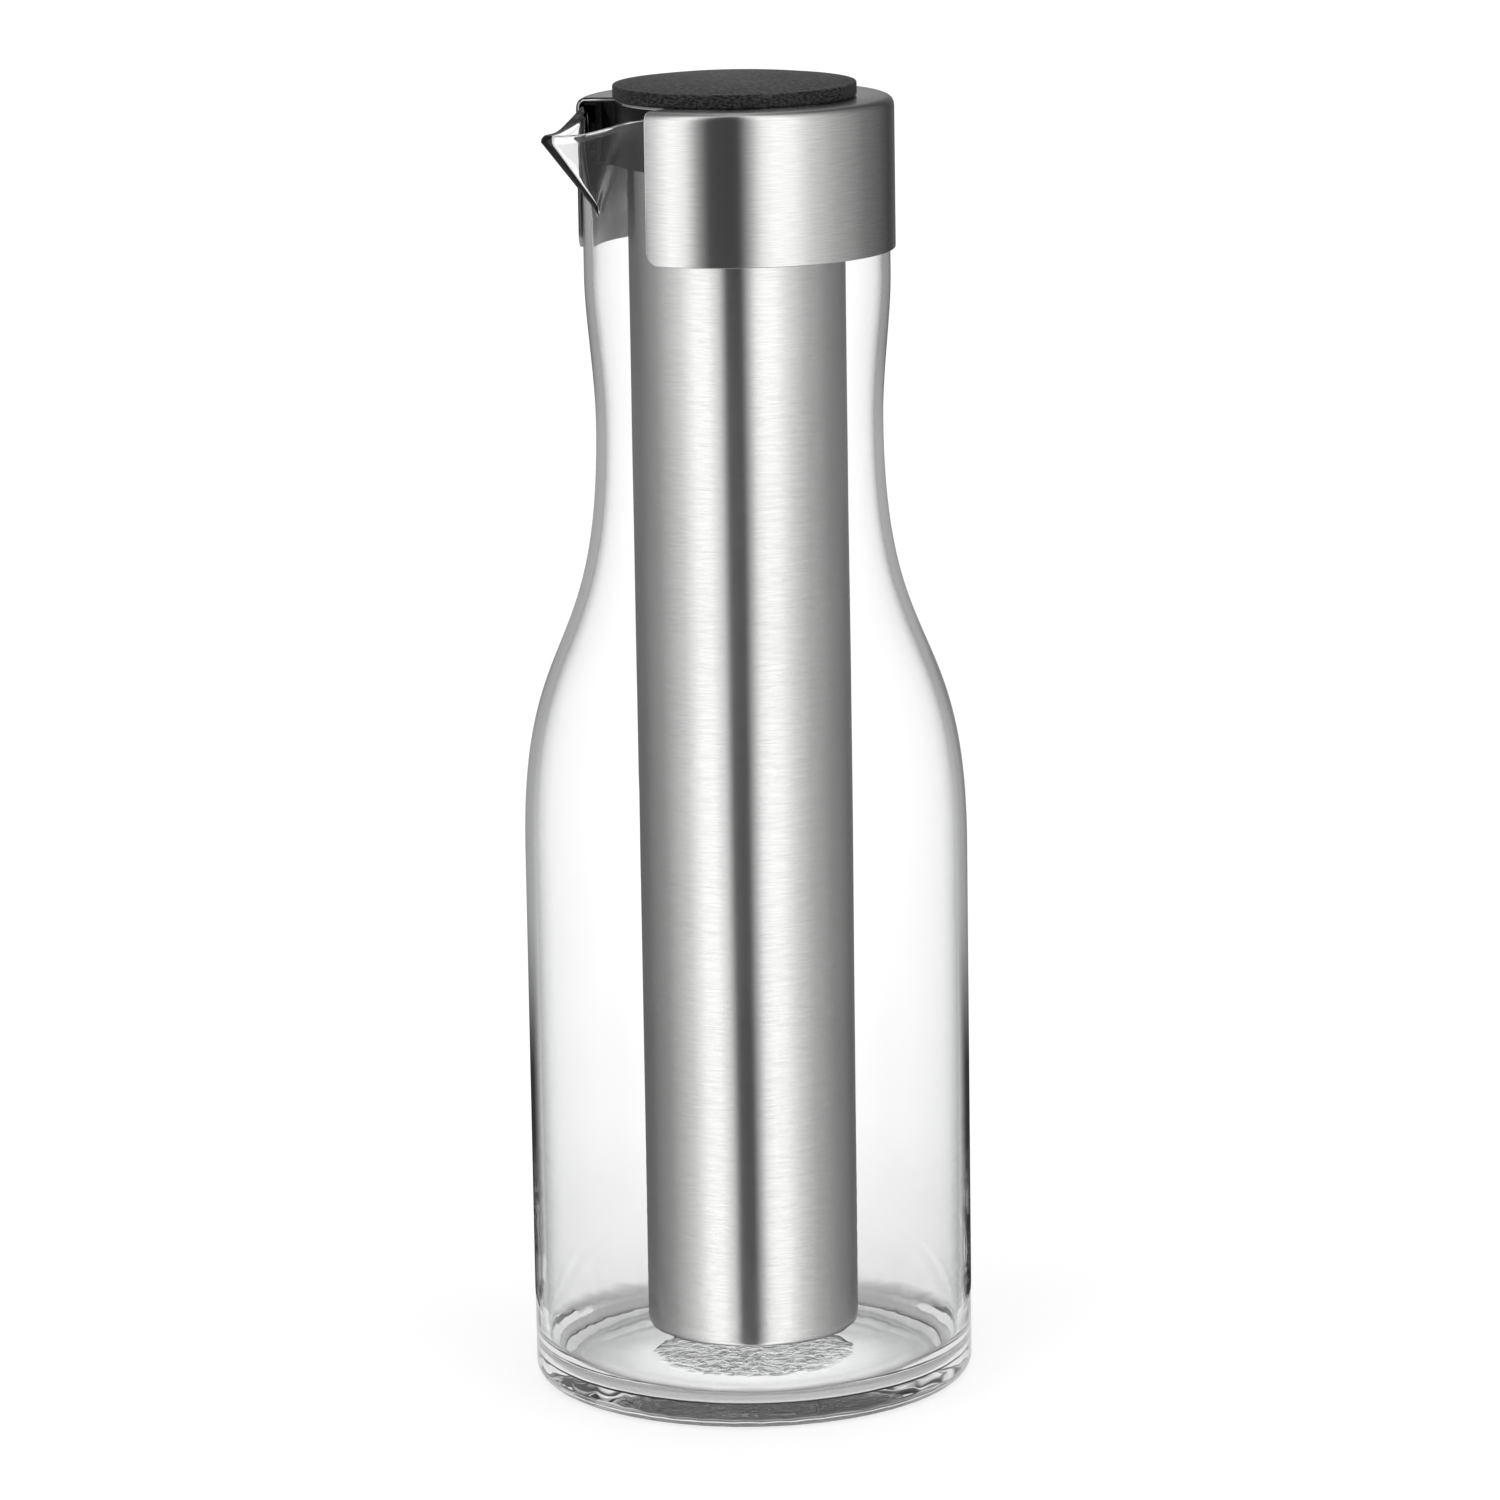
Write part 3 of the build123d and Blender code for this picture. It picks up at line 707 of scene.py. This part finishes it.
# What the tube mirrors, seen through both glass walls, is left to the panels below.
deep = add(tree, "ShaderNodeMath", {0: seen.outputs["Transmission Depth"]}, {1: 3.5}, operation="GREATER_THAN")
mirrored = add(tree, "ShaderNodeMath", {0: seen.outputs["Glossy Depth"]}, {1: 0.5}, operation="GREATER_THAN")
in_tube = add(tree, "ShaderNodeMath", {0: deep.outputs[0], 1: mirrored.outputs[0]}, operation="MULTIPLY")
gone = add(tree, "ShaderNodeBsdfTransparent")
paper_or_gone = add(
    tree, "ShaderNodeMixShader", {0: in_tube.outputs[0], 1: paper_sum.outputs[0], 2: gone.outputs[0]})
tree.links.new(paper_or_gone.outputs[0], out.inputs["Surface"])
floor_mesh.materials.append(paper)
print("floor", [round(v, 1) for v in floor.dimensions])

# %% [markdown]
# ## The camera
# A long lens about a metre and a half away, looking down a little, keeps the sides of the carafe nearly upright. The
# lip points to the left of the view, so the view is turned from the front of the part.

# %% Camera at the photograph's viewing angle
VIEW_TURN = math.radians(-25.4)
PITCH, YAW, ROLL = 0.205369, 0.000798, -0.015635
CAMERA_DISTANCE, CAMERA_HEIGHT, LENS = 1.46036, 0.44872, 158.67
forward = Vector((math.sin(YAW) * math.cos(PITCH), math.cos(YAW) * math.cos(PITCH), -math.sin(PITCH)))
right = forward.cross(Vector((0, 0, 1))).normalized()
up = right.cross(forward)
right_rolled = math.cos(ROLL) * right + math.sin(ROLL) * up
up_rolled = -math.sin(ROLL) * right + math.cos(ROLL) * up
to_part = Matrix.Rotation(VIEW_TURN, 3, "Z")
columns_3 = [to_part @ right_rolled, to_part @ up_rolled, to_part @ -forward]
place = to_part @ Vector((0, -CAMERA_DISTANCE, CAMERA_HEIGHT))
camera_data = bpy.data.cameras.new("photo_camera")
camera_data.lens = LENS
camera_data.sensor_width = 36
camera_data.clip_end = 60
camera = bpy.data.objects.new("photo_camera", camera_data)
bpy.context.scene.collection.objects.link(camera)
camera.matrix_world = Matrix.Translation(place) @ Matrix(columns_3).transposed().to_4x4()
bpy.context.scene.camera = camera
print("camera at", [round(v, 3) for v in place])

# %% [markdown]
# ## Panels for the reflections
# Polished metal and glass only show what stands round them. A studio hangs soft boxes and black cards, and so does this
# ring. Each ramp goes round it by bearing, in degrees from the camera's side: a narrow black card near the camera, a
# bright box on each side of it, and a slow fall to dark at the back. The collar's boxes stand a little further apart
# than the tube's. The glass gets dark cards far round, which draw its outline. The camera never sees the ring.

# %% Panel ramps and mesh
PANEL_RADIUS, PANEL_LOW, PANEL_HIGH, PANEL_LEVEL = 0.085, -0.4, 1.1, 1.65
PANEL_COUNT = 96
TUBE_STOPS = [
    (-180, 0.22), (-147, 0.07), (-117, 0.10), (-84, 0.25), (-56, 0.58), (-39, 1.00), (-28, 1.00),
    (-17, 0.58), (-10, 0.04), (3, 0.02), (9, 0.36), (16, 0.84), (24, 1.00), (34, 0.96), (49, 0.62),
    (66, 0.38), (94, 0.20), (131, 0.08), (153, 0.10), (180, 0.25)]
COLLAR_STOPS = [
    (-180, 0.32), (-146, 0.12), (-115, 0.12), (-81, 0.15), (-64, 0.22), (-50, 0.56), (-39, 0.94),
    (-30, 0.78), (-22, 0.26), (-16, 0.05), (2, 0.04), (8, 0.33), (15, 0.77), (22, 0.92), (32, 0.88),
    (45, 0.55), (62, 0.33), (87, 0.15), (122, 0.04), (146, 0.09), (180, 0.32)]
GLASS_STOPS = [
    (-180, 0.02), (-122, 0.03), (-110, 0.42), (-88, 0.42), (-60, 0.18), (60, 0.18), (88, 0.42), (110, 0.42),
    (122, 0.03), (180, 0.02)]
PANEL_SPLIT = 0.215
turns = np.linspace(0, 2 * math.pi, PANEL_COUNT + 1)[:-1]
panel_points = [
    (PANEL_RADIUS * math.cos(a), PANEL_RADIUS * math.sin(a), z) for z in (PANEL_LOW, PANEL_HIGH) for a in turns]
panel_faces = [
    [i, (i + 1) % PANEL_COUNT, PANEL_COUNT + (i + 1) % PANEL_COUNT, PANEL_COUNT + i] for i in range(PANEL_COUNT)]
panel_mesh = bpy.data.meshes.new("studio_panels")
panel_mesh.from_pydata(panel_points, [], panel_faces)
panel_mesh.shade_smooth()
panels = bpy.data.objects.new("studio_panels", panel_mesh)
bpy.context.scene.collection.objects.link(panels)
panels.rotation_euler.z = VIEW_TURN
panels.visible_camera = panels.visible_diffuse = panels.visible_shadow = False
print("panel ring", PANEL_COUNT, "panels")

# %% Panel light by bearing
screen, tree, out = new_finish("studio_panel_gradient")
where = add(tree, "ShaderNodeTexCoord")
axes = add(tree, "ShaderNodeSeparateXYZ", {0: where.outputs["Object"]})
ahead = add(tree, "ShaderNodeMath", {0: axes.outputs["Y"]}, {1: -1.0}, operation="MULTIPLY")
bearing = add(tree, "ShaderNodeMath", {0: axes.outputs["X"], 1: ahead.outputs[0]}, operation="ARCTAN2")
share = add(tree, "ShaderNodeMath", {0: bearing.outputs[0]}, {1: 0.5 / math.pi, 2: 0.5}, operation="MULTIPLY_ADD")


def bearing_ramp(stops):
    """A grey ramp round the ring of panels, by bearing from the camera's side."""
    ramp = add(tree, "ShaderNodeValToRGB", {"Fac": share.outputs[0]})
    while len(ramp.color_ramp.elements) < len(stops):
        ramp.color_ramp.elements.new(0.5)
    for element, (degrees, level) in zip(ramp.color_ramp.elements, stops):
        element.position = degrees / 360 + 0.5
        element.color = (level, level, level, 1)
    return ramp


seen = add(tree, "ShaderNodeLightPath")
inside = add(tree, "ShaderNodeMath", {0: seen.outputs["Transmission Depth"]}, {1: 3.5}, operation="GREATER_THAN")
no_glass = add(tree, "ShaderNodeMath", {0: seen.outputs["Transmission Depth"]}, {1: 0.5}, operation="LESS_THAN")
high = add(
    tree, "ShaderNodeMapRange", {"Value": axes.outputs["Z"]},
    {"From Min": PANEL_SPLIT - 0.01, "From Max": PANEL_SPLIT + 0.01})
on_collar = add(tree, "ShaderNodeMath", {0: high.outputs[0], 1: no_glass.outputs[0]}, operation="MULTIPLY")
mirrored = add(tree, "ShaderNodeMath", {0: seen.outputs["Glossy Depth"]}, {1: 0.5}, operation="GREATER_THAN")
# Higher up the dark cards are greyer, so the outline thins out towards the neck.
lift = add(
    tree, "ShaderNodeMapRange", {"Value": axes.outputs["Z"]},
    {"From Min": 0.045, "From Max": 0.10, "To Max": 0.25}, interpolation_type="SMOOTHSTEP")
glass_ramp = bearing_ramp(GLASS_STOPS)
glass_lifted = add(
    tree, "ShaderNodeMath", {0: glass_ramp.outputs["Color"], 1: lift.outputs[0]}, operation="MAXIMUM")
# Flecks of light low down, which the heel shows as bright patches.
flecks = add(
    tree, "ShaderNodeTexNoise", {"Vector": where.outputs["Object"]},
    {"Scale": 1 / (16 * MM), "Detail": 2.0, "Distortion": 1.5})
fleck_level = add(
    tree, "ShaderNodeMapRange", {"Value": flecks.outputs["Fac"]},
    {"From Min": 0.44, "From Max": 0.62, "To Max": 0.5})
fleck_low = add(
    tree, "ShaderNodeMapRange", {"Value": axes.outputs["Z"]}, {"From Min": 0.04, "From Max": 0.02})
through = add(tree, "ShaderNodeMath", {0: seen.outputs["Transmission Depth"]}, {1: 0.5}, operation="GREATER_THAN")
fleck_zone = add(tree, "ShaderNodeMath", {0: fleck_low.outputs[0], 1: through.outputs[0]}, operation="MULTIPLY")
fleck_glow = add(
    tree, "ShaderNodeMath", {0: fleck_level.outputs[0], 1: fleck_zone.outputs[0]}, operation="MULTIPLY")
glass_flecked = add(
    tree, "ShaderNodeMath", {0: glass_lifted.outputs[0], 1: fleck_glow.outputs[0]}, operation="MAXIMUM")
plain = add(
    tree, "ShaderNodeMix",
    {"Factor": on_collar.outputs[0], "A": glass_flecked.outputs[0],
     "B": bearing_ramp(COLLAR_STOPS).outputs["Color"]}, data_type="FLOAT")
ramps = add(
    tree, "ShaderNodeMix",
    {"Factor": inside.outputs[0], "A": plain.outputs[0], "B": bearing_ramp(TUBE_STOPS).outputs["Color"]},
    data_type="FLOAT")
glow = add(tree, "ShaderNodeEmission", {"Color": ramps.outputs[0]}, {"Strength": PANEL_LEVEL})
clear = add(tree, "ShaderNodeBsdfTransparent")
shown = add(tree, "ShaderNodeMixShader", {0: mirrored.outputs[0], 1: clear.outputs[0], 2: glow.outputs[0]})
tree.links.new(shown.outputs[0], out.inputs["Surface"])
panel_mesh.materials.append(screen)
print("panels", len(TUBE_STOPS), "stops")

# %% [markdown]
# ## World and lamps
# The world is white to the eye, to mirrors and through glass, and gives a weaker even light otherwise. Three broad
# lamps shape the matt black pieces and leave a soft shadow.

# %% World and lamps
world = bpy.data.worlds.new("studio_world")
bpy.context.scene.world = world
world.use_nodes = True
tree = world.node_tree
tree.nodes.clear()
out = add(tree, "ShaderNodeOutputWorld")
seen = add(tree, "ShaderNodeLightPath")
seen_by = add(
    tree, "ShaderNodeMath", {0: seen.outputs["Is Camera Ray"], 1: seen.outputs["Is Glossy Ray"]},
    operation="MAXIMUM")
seen_all = add(
    tree, "ShaderNodeMath", {0: seen_by.outputs[0], 1: seen.outputs["Is Transmission Ray"]}, operation="MAXIMUM")
level = add(tree, "ShaderNodeMapRange", {"Value": seen_all.outputs[0]}, {"To Min": 0.45, "To Max": 1.0})
sky = add(tree, "ShaderNodeBackground", {"Strength": level.outputs[0]}, {"Color": (1, 1, 1, 1)})
tree.links.new(sky.outputs[0], out.inputs["Surface"])


def soft_lamp(name, azimuth, elevation, strength, width):
    """A broad soft lamp far away, at an azimuth from the camera's side, in degrees."""
    data = bpy.data.lights.new(name, "SUN")
    data.energy = strength
    data.angle = math.radians(width)
    lamp = bpy.data.objects.new(name, data)
    bpy.context.scene.collection.objects.link(lamp)
    a = math.radians(azimuth) + VIEW_TURN
    e = math.radians(elevation)
    towards = Vector((math.sin(a) * math.cos(e), -math.cos(a) * math.cos(e), math.sin(e)))
    lamp.rotation_euler = towards.to_track_quat("Z", "Y").to_euler()
    lamp.visible_glossy = False
    return lamp


lamps = [
    soft_lamp("left_softbox", -45, 48, 0.75, 50),
    soft_lamp("right_softbox", 50, 45, 0.6, 50),
    soft_lamp("top_softbox", 170, 70, 0.6, 60),
]
bpy.context.scene.view_settings.view_transform = "Standard"
print("lamps", [lamp.name for lamp in lamps])
